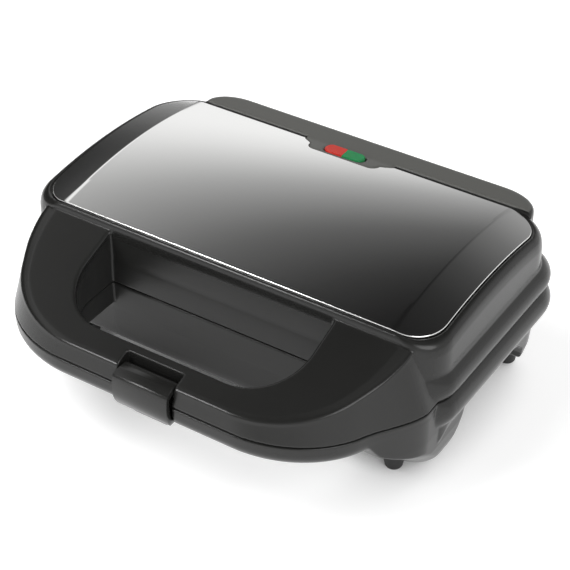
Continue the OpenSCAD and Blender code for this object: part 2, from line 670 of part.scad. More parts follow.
module reflector() {
    rim = 0.8;                             // the tray's edge inside the plate's edge
    difference() {
        translate([0, 0, cook_t + 0.3]) linear_extrude(tray_depth - 0.3) polygon(cook_outline(rim));
        translate([0, 0, cook_t]) linear_extrude(tray_depth - tray_t) polygon(cook_outline(rim + tray_t));
        for (p = screw_places) translate([p[0], cook_y + p[1], cook_t]) cylinder(h = 20, r = screw_r + 0.4);
        for (s = [-1, 1]) translate([s * element_gap, cook_y + element_d, cook_t])
            cylinder(h = 20, r = 2.6);
    }
}

module plate_screw() {
    length = screw_seat - pocket_depth - pocket_wall - 2.4;
    translate([0, 0, screw_seat - length]) cylinder(h = length + 1, r = screw_r - 0.03);
    difference() {
        translate([0, 0, screw_seat + fit / 3]) cylinder(h = 2, r = head_r);
        for (a = [0, 90]) translate([0, 0, screw_seat + 1.9]) rotate([0, 0, a]) cube([3.6, 0.7, 1.8], center = true);
    }
}

module plate_screws() for (p = screw_places) translate([p[0], cook_y + p[1], 0]) plate_screw();

module upper_side() translate([0, 0, lid_z]) children();
module lower_side() translate([0, 0, base_top]) mirror([0, 0, 1]) children();

module upper_cooking_plate() color(grey) upper_side() cooking_plate();
module lower_cooking_plate() color(grey) lower_side() cooking_plate();
module upper_heating_element() color(steel) upper_side() heating_element();
module lower_heating_element() color(steel) lower_side() heating_element();
module upper_reflector() color(steel) upper_side() reflector();
module lower_reflector() color(steel) lower_side() reflector();
module upper_plate_screws() color(steel) upper_side() plate_screws();
module lower_plate_screws() color(steel) lower_side() plate_screws();

// ---- Feet, hinge pins and latch ----

stem_r = 3;
stem_h = 9;
front_foot_y = plate_front + 10;
rear_foot_y = plate_rear - 7;

module foot(x, y, h, top_r) translate([x, y, 0]) {
    cylinder(h = 1, r1 = foot_r - 0.6, r2 = foot_r);
    translate([0, 0, 1]) cylinder(h = h - 1.05, r1 = foot_r, r2 = top_r);
    translate([0, 0, h - 1]) cylinder(h = stem_h, r = stem_r);
}

module front_feet() color(black) both_sides() foot(front_foot_x, front_foot_y, front_foot_h, foot_r + 2);
module rear_feet() color(black) both_sides() foot(rear_foot_x, rear_foot_y, rear_foot_h, foot_r + 1.4);

module hinge_pins() color(steel) both_sides()
    rod(hinge_x, hinge_y, hinge_z, hinge_pin_r, knuckle_w + 2 * lid_knuckle_w + 2 * hinge_play - 1);

module latch() {
    f = handle_front;
    p = parting_z;
    b = base_top - handle_low_h - 0.4;     // the hook reaches below the lower handle half
    outside = [[f + 8.6, p + 9.5], [f + 4.1, p + 10.1], [f - 0.4, p + 9.1], [f - 2.7, p + 6.5],
               [f - latch_proud, p + 0.5], [f - latch_proud + 0.3, p - 5.5], [f - 1.4, p - 10.5],
               [f + 1.6, b - 0.2], [f + 4.6, b - 2.6], [f + 5.6, b - 5.2], [f + 8.6, b - 5.7]];
    inside = [[f + 9.6, b - 3.7], [f + 9.6, b], [f + 5.9, b], [f + 2.9, b + 2.6],
              [f - latch_proud + latch_t + 0.8, p - 7], [f - latch_proud + latch_t, p - 1.5],
              [f - latch_proud + latch_t, p + 4.6], [f + 2, p + 6.5], [f + 7, p + 6]];
    color(black) difference() {
        union() {
            side_slab(concat(outside, inside), 0, latch_w);
            rod(0, latch_y, latch_z, 3.4, latch_w);
        }
        rod(0, latch_y, latch_z, latch_pin_r + pin_fit, latch_w + 2);
    }
}

module latch_pin() color(steel) rod(0, latch_y, latch_z, latch_pin_r, latch_pin_l);

// ---- Lamps ----

module lens(side) {
    top = crown_z(lens_y) + tongue_up + lens_up;
    intersection() {
        union() {
            pill(lamp_z - 0.5, top - 0.5, 0);
            pill(top - 0.6, top, -0.5);
            pill(lamp_z - 2, lamp_z - fit / 3, 1.4);
        }
        translate([side > 0 ? 0.05 : -lens_l - 0.05, lens_y - lens_w, lamp_z - 3])
            cube([lens_l, 2 * lens_w, 20]);
    }
}

module red_lens() color([0.8, 0.1, 0.08]) lens(-1);
module green_lens() color([0.1, 0.6, 0.2]) lens(1);

module lamp_holder() {
    color(black) difference() {
        translate([-lamp_block / 2, lens_y - holder_d / 2, holder_z]) cube([lamp_block, holder_d, holder_t]);
        for (s = [-1, 1]) {
            translate([s * lamp_post_x, lens_y, holder_z - 1]) cylinder(h = holder_t + 2, r = 1.3);
            translate([s * lens_l / 4, lens_y, holder_z - 1]) cylinder(h = holder_t + 2, r = 2.7);
        }
    }
}

module lamp_holder_screws() color(steel) for (s = [-1, 1])
    translate([s * lamp_post_x, lens_y, holder_z - holder_head_h]) {
        cylinder(h = holder_head_h, r = 2);
        cylinder(h = lamp_post_h, r = 0.97);
    }

module indicator_lamps() color([0.9, 0.5, 0.2]) for (s = [-1, 1])
    translate([s * lens_l / 4, lens_y, lamp_z - 12]) {
        cylinder(h = 8, r = 2.6);
        translate([0, 0, 8]) cylinder(h = 1, r1 = 2.6, r2 = 1.4);
    }

// ---- Electrical parts in the base ----

module thermostat() color(black) lower_side() translate([0, cook_y, cook_t + 0.05]) {
    cylinder(h = 7, r = thermostat_r);
    translate([0, 0, 7]) cylinder(h = 2.5, r = thermostat_r - 1.6);
    for (s = [-1, 1]) translate([s * 3, 0, 10]) cube([0.8, 4, 3], center = true);
}

fuse_l = 11;
fuse_r = 2.2;
module thermal_fuse() color(steel) lower_side() translate([0, cook_y + screw_y / 2, cook_t + fuse_r + 0.1])
    rotate([90, 0, 0]) {
        cylinder(h = fuse_l, r = fuse_r, center = true);
        cylinder(h = fuse_l + 6, r = 0.5, center = true);
    }

block_l = 30;
block_w = 14;
block_h = 8;
pole_x = block_l * 0.32;                   // distance of each pole from the block's middle
terminal_screw_r = 1.07;

module terminal_place() translate([terminal_x, terminal_y, base_z + wall]) children();
module poles() for (s = [-1, 1]) translate([s * pole_x, 0, 0]) children();

module terminal_block() color([0.8, 0.78, 0.72]) terminal_place() difference() {
    translate([-block_l / 2, -block_w / 2, 2.05]) cube([block_l, block_w, block_h]);
    cylinder(h = 3 * block_h, r = terminal_screw_r + 0.4);
    poles() translate([0, 0, block_h - 2]) rotate([90, 0, 0]) cylinder(h = 2 * block_w, r = 2, center = true);
    poles() translate([0, 0, block_h - 1]) cylinder(h = block_h, r = 1.4);
    translate([0, 0, block_h]) cylinder(h = block_h, r = 2.6);
}

module terminal_screws() color(steel) terminal_place() {
    translate([0, 0, 0.4]) cylinder(h = block_h - 0.2, r = terminal_screw_r);
    translate([0, 0, block_h + 0.05]) cylinder(h = 1.6, r = 2.3);
    poles() translate([0, 0, block_h - 0.8]) cylinder(h = 2.6, r = 1.35);
}

module cord_gland() color(black) translate([gland_x, 0, gland_z]) rotate([-90, 0, 0]) {
    difference() {
        union() {
            translate([0, 0, room_rear - 2.6]) cylinder(h = 2.5, r = gland_r + 0.6);
            translate([0, 0, room_rear - 1]) cylinder(h = gland_face + 2 - room_rear, r = gland_r);
            translate([0, 0, gland_face + 0.1]) cylinder(h = 2.4, r = gland_r + 1.2);
            translate([0, 0, gland_face + 2.4]) cylinder(h = 5, r1 = gland_r + 0.6, r2 = gland_r - 0.8);
        }
        translate([0, 0, room_rear - 5]) cylinder(h = 40, r = gland_r - 1.4);
    }
}

lower_housing();
upper_housing();
top_plate();
lower_cooking_plate();
upper_cooking_plate();
lower_heating_element();
upper_heating_element();
lower_reflector();
upper_reflector();
lower_plate_screws();
upper_plate_screws();
front_feet();
rear_feet();
hinge_pins();
latch();
latch_pin();
red_lens();
green_lens();
lamp_holder();
lamp_holder_screws();
indicator_lamps();
thermostat();
thermal_fuse();
terminal_block();
terminal_screws();
cord_gland();
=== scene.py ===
# Sandwich toaster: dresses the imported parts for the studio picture.
import math

import bmesh
import bpy
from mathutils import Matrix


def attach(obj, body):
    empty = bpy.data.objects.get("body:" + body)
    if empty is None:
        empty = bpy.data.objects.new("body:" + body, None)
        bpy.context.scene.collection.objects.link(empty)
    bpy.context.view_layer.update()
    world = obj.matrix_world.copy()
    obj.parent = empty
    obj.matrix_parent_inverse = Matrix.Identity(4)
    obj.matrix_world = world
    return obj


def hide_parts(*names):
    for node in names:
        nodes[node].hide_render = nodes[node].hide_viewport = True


mm = 0.001
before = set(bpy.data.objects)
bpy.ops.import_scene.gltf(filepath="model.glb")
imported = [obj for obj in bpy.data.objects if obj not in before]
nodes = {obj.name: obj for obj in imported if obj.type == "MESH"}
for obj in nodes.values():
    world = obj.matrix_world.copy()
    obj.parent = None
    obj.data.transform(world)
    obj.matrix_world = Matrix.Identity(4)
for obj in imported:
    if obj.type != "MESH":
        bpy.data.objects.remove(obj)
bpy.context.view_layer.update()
print("frame loaded,", len(nodes), "nodes")


# shader helpers

def plug(tree, slot, value):
    # a slot takes a link or a plain value
    if isinstance(value, Link):
        tree.links.new(value.socket, slot)
    else:
        slot.default_value = value


class Link:
    # wraps a node socket, so that shader maths reads as plain arithmetic
    def __init__(self, tree, socket):
        self.tree, self.socket = tree, socket

    def maths(self, operation, *others, swap=False):
        node = self.tree.nodes.new("ShaderNodeMath")
        node.operation = operation
        values = [self, *others]
        if swap:
            values.reverse()
        for slot, value in zip(node.inputs, values):
            plug(self.tree, slot, value)
        return Link(self.tree, node.outputs[0])

    def __add__(self, other):
        return self.maths("ADD", other)

    __radd__ = __add__

    def __sub__(self, other):
        return self.maths("SUBTRACT", other)

    def __rsub__(self, other):
        return self.maths("SUBTRACT", other, swap=True)

    def __mul__(self, other):
        return self.maths("MULTIPLY", other)

    __rmul__ = __mul__

    def clamp(self):
        return self.maths("MAXIMUM", 0.0).maths("MINIMUM", 1.0)


class Tree:
    # one material's or world's node tree
    def __init__(self, owner):
        owner.use_nodes = True
        self.tree = owner.node_tree
        self.tree.nodes.clear()

    def node(self, kind, settings=None, output=0, **sockets):
        # a socket is named, as in Base_Color, or numbered, as in i6
        node = self.tree.nodes.new("ShaderNode" + kind)
        for name, value in (settings or {}).items():
            if name == "stops":
                fillRamp(node.color_ramp, value)
            else:
                setattr(node, name, value)
        for name, value in sockets.items():
            numbered = name[0] == "i" and name[1:].isdigit()
            slot = node.inputs[int(name[1:]) if numbered else name.replace("_", " ")]
            plug(self.tree, slot, value)
        return Link(self.tree, node.outputs[output]) if node.outputs else None


def fillRamp(ramp, stops):
    # rows: place along the ramp, grey level
    while len(ramp.elements) < len(stops):
        ramp.elements.new(1.0)
    for element, (place, level) in zip(ramp.elements, stops):
        element.position = place
        element.color = (level, level, level, 1.0)


def newMaterial(name):
    material = bpy.data.materials.new(name)
    return material, Tree(material)


def noise(tree, scale, detail, roughness=0.5, stretch=None):
    place = tree.node("TexCoord", output="Object")
    if stretch:
        place = tree.node("Mapping", Vector=place, Scale=stretch)
    return tree.node("TexNoise", Vector=place, Scale=scale, Detail=detail, Roughness=roughness)


def colourMix(tree, amount, first, second):
    first, second = (c if isinstance(c, Link) else (*c, 1) for c in (first, second))
    return tree.node("Mix", {"data_type": "RGBA"}, output=2, i0=amount, i6=first, i7=second)


def darker(colour, share, lift=0.0):
    return tuple(share * c + lift for c in colour)


def surface(tree, **sockets):
    shader = tree.node("BsdfPrincipled", **sockets)
    tree.node("OutputMaterial", Surface=shader)


def bump(tree, height, distance, strength):
    return tree.node("Bump", Height=height, Distance=distance, Strength=strength)


# materials: lengths in metres, grains and clouds to the metre

plasticLook = {
    "colour": (0.0120, 0.0120, 0.0114),
    "worn": (0.0165, 0.0165, 0.0156),
    "roughness": 0.22,
    "roughnessSpread": 0.06,
    "ior": 1.43,
    "grain": 2600.0,
    "grainDepth": 0.000010,
    "grainStrength": 0.5,
    "cloud": 14.0,
    # the spine's top and the tongue have a rougher, satin finish, and a paler colour there that is a painted
    # sheen
    "satin": (0.098, 0.098, 0.091),
    "satinRoughness": 0.42,
    "satinRear": 0.0949,       # the spine's top lies behind this
    "tongueFront": 0.0824,
    "tongueHalf": 0.0300,
    "satinAbove": 0.0986,
    "satinEdge": 0.0004,
    # the faces round the hand opening are duller
    "recessFront": -0.0945,
    "recessRear": -0.0385,
    "recessHalf": 0.0745,
    "recessTop": 0.1065,       # at y = 0, under the handle's sloping deck
    "recessSlope": 0.35,
    "recessEdge": 0.004,
    "recessRoughness": 0.7,
}


def recessMask(look, x, y, z):
    edge = 1 / look["recessEdge"]
    across = ((y - look["recessFront"]) * edge).clamp() * ((look["recessRear"] - y) * edge).clamp()
    below = y * look["recessSlope"] + look["recessTop"] - z
    beside = look["recessHalf"] - x.maths("ABSOLUTE")
    return across * (beside * edge).clamp() * (below * edge).clamp()


# the spine's top and the tongue: rougher there, and paler by a painted sheen
def satinPaintedSheenMask(look, x, y, z):
    edge = 1 / look["satinEdge"]
    onSpine = ((y - look["satinRear"]) * edge).clamp()
    beside = look["tongueHalf"] - x.maths("ABSOLUTE")
    onTongue = ((y - look["tongueFront"]) * edge).clamp() * (beside * edge).clamp()
    return (onSpine + onTongue).clamp() * ((z - look["satinAbove"]) * edge).clamp()


def mouldedPlastic(name, look):
    material, tree = newMaterial(name)
    place = tree.node("TexCoord", output="Object")
    spot = [tree.node("SeparateXYZ", output=axis, Vector=place) for axis in "XYZ"]
    satin, recess = satinPaintedSheenMask(look, *spot), recessMask(look, *spot)
    cloud = noise(tree, look["cloud"], 3.0, 0.55)
    grain = noise(tree, look["grain"], 1.0)
    gloss = look["roughness"] + (cloud - 0.5) * look["roughnessSpread"]
    gloss = gloss + satin * (look["satinRoughness"] - look["roughness"])
    gloss = gloss + recess * (look["recessRoughness"] - look["roughness"])
    body = colourMix(tree, cloud, look["colour"], look["worn"])
    # paler on the spine's top and the tongue: a painted sheen in the base colour
    surface(tree,
            Base_Color=colourMix(tree, satin, body, look["satin"]),
            Roughness=gloss,
            IOR=look["ior"],
            Normal=bump(tree, grain, look["grainDepth"], look["grainStrength"]))
    return material


steelLook = {
    "colour": (0.89, 0.89, 0.88),
    "shade": 0.97,             # how dark its clouds get
    "cloud": 7.0,
    "roughness": 0.10,
    "roughnessSpread": 0.03,
    "streak": (9.0, 900.0, 9.0),
    "streakDepth": 0.0000015,
    "streakStrength": 0.3,
}


def polishedSteel(name, look):
    material, tree = newMaterial(name)
    streaks = noise(tree, 1.0, 2.0, 0.6, look["streak"])
    cloud = noise(tree, look["cloud"], 2.0)
    surface(tree,
            Base_Color=colourMix(tree, cloud, look["colour"], darker(look["colour"], look["shade"])),
            Metallic=1.0,
            Roughness=look["roughness"] + (streaks - 0.5) * look["roughnessSpread"],
            Normal=bump(tree, streaks, look["streakDepth"], look["streakStrength"]))
    return material


metalLook = {"metallic": 1.0, "shade": 0.8, "lift": 0.0, "roughnessSpread": 0.15,
             "grain": 300.0, "grainDepth": 0.00002, "grainStrength": 0.3}
dullLook = {"metallic": 0.0, "shade": 0.75, "lift": 0.004, "roughnessSpread": 0.1,
            "grain": 900.0, "grainDepth": 0.00003, "grainStrength": 0.4}


def speckled(name, look, colour, roughness):
    material, tree = newMaterial(name)
    spots = noise(tree, look["grain"], 3.0)
    surface(tree,
            Base_Color=colourMix(tree, spots, colour, darker(colour, look["shade"], look["lift"])),
            Metallic=look["metallic"],
            Roughness=roughness + (spots - 0.5) * look["roughnessSpread"],
            Normal=bump(tree, spots, look["grainDepth"], look["grainStrength"]))
    return material


lensLook = {"cloud": 180.0, "shade": 0.8, "roughness": 0.16, "roughnessSpread": 0.05,
            "coat": 0.6, "coatRoughness": 0.05, "milky": 0.25, "milkyDepth": 0.002}


def lensPlastic(name, look, colour):
    material, tree = newMaterial(name)
    cloud = noise(tree, look["cloud"], 1.0)
    surface(tree,
            Base_Color=colourMix(tree, cloud, colour, darker(colour, look["shade"])),
            Roughness=look["roughness"] + (cloud - 0.5) * look["roughnessSpread"],
            Coat_Weight=look["coat"], Coat_Roughness=look["coatRoughness"],
            Subsurface_Weight=look["milky"], Subsurface_Scale=look["milkyDepth"])
    return material


coatingLook = {**dullLook, "grain": 1800.0, "grainDepth": 0.00002}
trayLook = {**metalLook, "grain": 120.0}
bulbLook = {**dullLook, "grain": 60.0, "grainDepth": 0.0}

blackPlastic = mouldedPlastic("blackPlastic", plasticLook)
steelSkin = polishedSteel("polishedSteel", steelLook)
nonStick = speckled("nonStickCoating", coatingLook, (0.030, 0.030, 0.032), 0.42)
heaterSteel = speckled("heaterSteel", metalLook, (0.30, 0.28, 0.26), 0.45)
trayMetal = speckled("trayAluminium", trayLook, (0.72, 0.72, 0.73), 0.32)
screwSteel = speckled("screwSteel", metalLook, (0.60, 0.60, 0.60), 0.28)
footRubber = speckled("footRubber", dullLook, (0.020, 0.020, 0.020), 0.62)
redLens = lensPlastic("redLens", lensLook, (0.62, 0.045, 0.03))
greenLens = lensPlastic("greenLens", lensLook, (0.02, 0.26, 0.085))
bakelite = speckled("bakelite", dullLook, (0.03, 0.026, 0.024), 0.4)
blockPlastic = speckled("blockPlastic", dullLook, (0.72, 0.69, 0.6), 0.5)
lampGlass = speckled("lampGlass", bulbLook, (0.75, 0.42, 0.25), 0.12)
print("materials made")

finishes = {
    "lower_housing": blackPlastic, "upper_housing": blackPlastic, "latch": blackPlastic,
    "top_plate": steelSkin,
    "lower_cooking_plate": nonStick, "upper_cooking_plate": nonStick,
    "lower_heating_element": heaterSteel, "upper_heating_element": heaterSteel,
    "lower_reflector": trayMetal, "upper_reflector": trayMetal,
    "lower_plate_screws": screwSteel, "upper_plate_screws": screwSteel,
    "lamp_holder_screws": screwSteel, "terminal_screws": screwSteel,
    "hinge_pins": screwSteel, "latch_pin": screwSteel, "thermal_fuse": screwSteel,
    "front_feet": footRubber, "rear_feet": footRubber, "cord_gland": footRubber,
    "red_lens": redLens, "green_lens": greenLens, "indicator_lamps": lampGlass,
    "lamp_holder": bakelite, "thermostat": bakelite, "terminal_block": blockPlastic,
}
nodeCrisp = 32        # edges sharper than this, in degrees, stay crisp


def smoothByAngle(piece, degrees):
    mesh = piece.data
    mesh.shade_smooth()
    mesh.set_sharp_from_angle(angle=math.radians(degrees))


for name, piece in nodes.items():
    piece.data.materials.clear()
    piece.data.materials.append(finishes[name])
    smoothByAngle(piece, nodeCrisp)


# sizes and outlines that the pieces share, in millimetres

plate = {
    "w": 250.0, "d": 130.2, "t": 1.2, "r": 20.0, "front": -36.25,
    "frontZ": 100.4, "rearZ": 99.0, "rise": 6.9,            # its two ends, and the arch above them
    "facetW": 20.0, "facetDrop": 4.2, "creaseSoft": 0.6,
    "tongueW": 46.0, "tongueD": 11.0, "tongueR": 5.0, "tongueFlare": 6.5, "tongueUp": 0.5,
    "play": 0.4,                                            # between the plate and the tongue
    "crisp": 30,
}
plate["rear"] = plate["front"] + plate["d"]
plate["crease"] = plate["w"] / 2 - plate["facetW"]
shell = {
    "parting": 60.5, "gap": 0.6, "wall": 2.8,
    "out": 6.6, "frontOut": 3.3,                            # how far the walls stand out past the plate
    "drawIn": 0.15,                                         # share of an inset at the front and rear
    "frontR": 18.0, "rearR": 26.0,
    "beadH": 15.0, "bead": 4.8, "lidBeadLess": 0.8, "valley": 1.2, "beadFullness": 0.7,
    "beadLead": 10.0, "beadFade": 30.0,                     # where a bead dies away at the front
    "baseBeadH": 18.0, "baseZ": 24.0, "skirtZ": 33.5, "apron": 12.5, "apronD": 18.0,
    "lipDrop": 7.5, "deckDrop": 1.35, "seat": -0.6, "roomRear": 93.75,
    "cornerN": 18, "sideN": 26, "beadN": 26,
}
lidZ = shell["parting"] + shell["gap"] / 2
baseTop = shell["parting"] - shell["gap"] / 2
handle = {
    "front": -109.15, "reach": 72.9, "halfW": 116.0, "r": 50.0, "run": 62.0, "bend": 1.02,
    "shoulder": 2.0, "driftFrom": 16.0, "driftTo": 4.0,     # the side runs over to the body's corner
    "topH": 8.6, "lowH": 13.6, "lowRound": 0.6, "slope": 0.35,
    "gripHalfW": 72.0, "barD": 17.0, "gripR": 32.0, "gripRim": 0.8,
    "bowN": 30, "sideN": 18,
}
cornerX = handle["halfW"] - handle["run"]
bodyCornerX = plate["w"] / 2 + shell["out"] - 1.2
hinge = {"y": 103.35, "z": 56.5, "knuckleR": 6.0, "x": 84.0, "w": 16.0, "lidW": 10.0, "play": 0.4,
         "reliefX": 117.5, "reliefY": 96.55, "reliefZ": 45.5}
notch = {"halfW": 17.9, "lowD": 4.5, "highD": 12.2, "highH": 22.0}        # room for the latch


def mix(a, b, t):
    return a + (b - a) * t


def clamp01(t):
    return min(max(t, 0.0), 1.0)


def smooth(t):
    t = clamp01(t)
    return t * t * (3 - 2 * t)


def arc(cx, cy, r, a0, a1, n):
    return [(cx + r * math.cos(math.radians(mix(a0, a1, i / n))),
             cy + r * math.sin(math.radians(mix(a0, a1, i / n)))) for i in range(n + 1)]


def halfRect(hw, y0, y1, rf, rr, cornerN=None, sideN=None):
    # right half of a rounded rectangle, from front to rear
    cornerN, sideN = cornerN or shell["cornerN"], sideN or shell["sideN"]
    side = [(hw, mix(y0 + rf, y1 - rr, i / sideN)) for i in range(1, sideN)]
    return arc(hw - rf, y0 + rf, rf, -90, 0, cornerN) + side + arc(hw - rr, y1 - rr, rr, 0, 90, cornerN)


def mirrored(half):
    return half + [(-x, y) for x, y in reversed(half)]


def lift(outline, z):
    return [(x, y, z) for x, y in outline]


def crownZ(y):
    t = clamp01((y - plate["front"]) / plate["d"])
    return mix(plate["frontZ"], plate["rearZ"], t) + plate["rise"] * 4 * t * (1 - t)


def plateZ(x, y):
    # the crease is rounded over a short width
    over = abs(x) - plate["crease"]
    soft = plate["creaseSoft"]
    if over > soft:
        run = over
    else:
        run = 0.0 if over < -soft else (over + soft) ** 2 / (4 * soft)
    return crownZ(y) - plate["facetDrop"] * min(run / plate["facetW"], 1.0)


def frontY(e):
    return plate["front"] - e * (shell["frontOut"] / shell["out"] if e > 0 else shell["drawIn"])


def rearY(e):
    return plate["rear"] + e * (1 if e > 0 else shell["drawIn"])


def plan(e):
    # the body's outline, e outside the plate's
    t = clamp01(e / shell["out"])
    return mirrored(halfRect(plate["w"] / 2 + e, frontY(e), rearY(e),
                             mix(plate["r"], shell["frontR"], t), mix(plate["r"], shell["rearR"], t)))


def flatRing(e, z):
    return lift(plan(e), z)


def edgeRing(e, drop):
    return [(x, y, plateZ(*q) - drop) for (x, y), q in zip(plan(e), plan(0))]


def creaseRing(inset, drop, r):
    # a ring on the plate's own surface
    half = halfRect(plate["w"] / 2 - inset, plate["front"] + inset, plate["rear"] - inset, r, r)
    return [(x, y, plateZ(x, y) - drop) for x, y in mirrored(half)]


def beadShare(y):
    # a bead dies away round the front corners
    return smooth((y - plate["front"] + shell["beadLead"]) / shell["beadFade"])


def beadRing(e, out, z):
    ring = []
    for p, q in zip(plan(e), plan(e + out)):
        share = beadShare(p[1])
        ring.append((mix(p[0], q[0], share), mix(p[1], q[1], share), z))
    return ring


def beadRings(z0, e0, z1, e1, out):
    n = shell["beadN"]
    rings = []
    for i in range(n + 1):
        t = (1 - math.cos(math.pi * i / n)) / 2        # closer rings where the bead turns in
        swell = out * math.sin(math.pi * t) ** shell["beadFullness"]
        rings.append(beadRing(mix(e0, e1, t), swell, mix(z0, z1, t)))
    return rings


def room(e):
    # the hollow's outline, one wall inside the body's
    wall = shell["wall"]
    rear = min(shell["roomRear"], rearY(e + wall) - wall)
    return mirrored(halfRect(plate["w"] / 2 + e, frontY(e + wall) + wall, rear,
                             shell["frontR"] - wall, shell["rearR"] - wall))


def handleOutline(cx, rx, inset, bend, endX, endY):
    # a bowed front, then sides that run over to endX
    shoulder = handle["r"] + handle["shoulder"]
    start, end = handle["r"] - handle["driftFrom"], handle["reach"] - handle["driftTo"]
    bow = []
    for i in range(handle["bowN"] + 1):
        a = math.radians(90 * i / handle["bowN"])
        depth = (shoulder - inset) * max(math.cos(a), 0.0) ** bend
        bow.append((cx + rx * math.sin(a) ** bend, shoulder - depth))
    n = handle["sideN"]
    bow += [(cx + rx, mix(shoulder, end, i / n)) for i in range(1, n + 1)] + [(cx + rx, endY)]
    drift = endX - cx - rx
    return mirrored([(x + drift * smooth((y - start) / (end - start)), handle["front"] + y) for x, y in bow])


def handleRing(d, grow=0.0, beyond=6):
    # the handle's outline, drawn in by d
    return handleOutline(cornerX, handle["run"] - d, d, handle["bend"],
                         bodyCornerX + grow - d, handle["reach"] + beyond)


handleEdge = handleOutline(cornerX - 4, handle["run"] - 1, 2.9, handle["bend"],
                           handle["halfW"] + 2, handle["reach"])
handleDeck = handleOutline(cornerX - 8, handle["run"] - 3, 5.2, 1, handle["halfW"] - 6, handle["reach"])


def deckZ(y):
    return lidZ + handle["topH"] + 1 + handle["slope"] * (y - handle["front"])


def onDeck(outline, drop):
    return [(x, y, deckZ(y) - drop) for x, y in outline]


def between(a, b, t):
    return [tuple(mix(p, q, t) for p, q in zip(u, v)) for u, v in zip(a, b)]


def gripOutline(d):
    # the hand opening, from the bar to the body's front wall
    front, rear = handle["front"] + handle["barD"], plate["front"] - shell["frontOut"] + 0.6
    return mirrored(halfRect(handle["gripHalfW"] + d, front - d, rear, handle["gripR"] + d, 2))


# meshes from rings and profiles

def finishMesh(name, build):
    mesh = bpy.data.meshes.new(name)
    build.to_mesh(mesh)
    build.free()
    piece = bpy.data.objects.new(name, mesh)
    bpy.context.scene.collection.objects.link(piece)
    return piece


def loftMesh(name, rings):
    # closed skin through rings of equal count, capped by strips from side to side
    build = bmesh.new()
    rows = [[build.verts.new((x * mm, y * mm, z * mm)) for x, y, z in ring] for ring in rings]
    n = len(rows[0])
    for low, high in zip(rows, rows[1:]):
        for i in range(n):
            j = (i + 1) % n
            build.faces.new((low[i], low[j], high[j], high[i]))
    first, last = rows[0], rows[-1]
    for i in range(n // 2 - 1):
        build.faces.new((first[i], first[n - 1 - i], first[n - 2 - i], first[i + 1]))
        build.faces.new((last[i], last[i + 1], last[n - 2 - i], last[n - 1 - i]))
    bmesh.ops.recalc_face_normals(build, faces=build.faces)
    return finishMesh(name, build)


turns = {"x": (2, 0, 1), "y": (1, 2, 0), "z": (0, 1, 2)}        # which of a rod's own axes goes where


def rodMesh(x, y, z, r, length, along="x", sides=48):
    build = bmesh.new()
    bmesh.ops.create_cone(build, cap_ends=True, segments=sides,
                          radius1=r * mm, radius2=r * mm, depth=length * mm)
    for v in build.verts:
        v.co = [v.co[axis] + p * mm for axis, p in zip(turns[along], (x, y, z))]
    bmesh.ops.recalc_face_normals(build, faces=build.faces)
    return finishMesh("rod", build)


def postMesh(x, y, z0, z1, r):
    return rodMesh(x, y, (z0 + z1) / 2, r, z1 - z0, "z", 40)


def boxMesh(low, high):
    build = bmesh.new()
    bmesh.ops.create_cube(build, size=1.0)
    for v in build.verts:
        v.co = [mix(a, b, c + 0.5) * mm for a, b, c in zip(low, high, v.co)]
    return finishMesh("box", build)


def bridgeMesh(name, ends):
    # two like outlines, capped and joined by walls
    build = bmesh.new()
    ends = [[build.verts.new((x * mm, y * mm, z * mm)) for x, y, z in end] for end in ends]
    build.faces.new(ends[0])
    build.faces.new(list(reversed(ends[1])))
    n = len(ends[0])
    for i in range(n):
        j = (i + 1) % n
        build.faces.new((ends[0][i], ends[1][i], ends[1][j], ends[0][j]))
    bmesh.ops.recalc_face_normals(build, faces=build.faces)
    return finishMesh(name, build)


def slabMesh(profile, x0, x1):
    # a side profile of (y, z) points, drawn out along X
    return bridgeMesh("slab", [[(x, y, z) for y, z in profile] for x in (x0, x1)])


def settle(piece):
    # applies the piece's modifiers
    graph = bpy.context.evaluated_depsgraph_get()
    mesh = bpy.data.meshes.new_from_object(piece.evaluated_get(graph))
    old = piece.data
    piece.modifiers.clear()
    piece.data = mesh
    bpy.data.meshes.remove(old)


def combine(piece, tools, operation):
    for tool in tools:
        cut = piece.modifiers.new("cut", "BOOLEAN")
        cut.operation, cut.solver, cut.object = operation, "MANIFOLD", tool
        settle(piece)
        bpy.data.objects.remove(tool)
    return piece


def mirrorCopy(piece):
    twin = bpy.data.objects.new(piece.name, piece.data.copy())
    for v in twin.data.vertices:
        v.co.x = -v.co.x
    twin.data.flip_normals()
    bpy.context.scene.collection.objects.link(twin)
    return twin


skin = {
    "voxel": 0.65,
    "rounds": 3,        # passes of softening
    "soften": 0.5,
    "kept": 0.4,                             # share of the faces left after thinning
}


def moulded(piece):
    # one skin over all that was joined, with softened corners and edges, then thinned
    wrap = piece.modifiers.new("wrap", "REMESH")
    wrap.mode, wrap.voxel_size = "VOXEL", skin["voxel"] * mm
    soften = piece.modifiers.new("soften", "SMOOTH")
    soften.factor, soften.iterations = skin["soften"], skin["rounds"]
    thin = piece.modifiers.new("thin", "DECIMATE")
    thin.ratio = skin["kept"]
    settle(piece)
    piece.data.shade_smooth()
    return piece


def dress(piece, name, material, node, body):
    piece.name = name
    piece.data.name = name
    piece.data.materials.clear()
    piece.data.materials.append(material)
    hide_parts(node)
    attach(piece, body)


def notchBox(z0, z1, depth):
    front = handle["front"]
    return boxMesh((-notch["halfW"], front - 3, z0), (notch["halfW"], front + depth, z1))


# lower housing

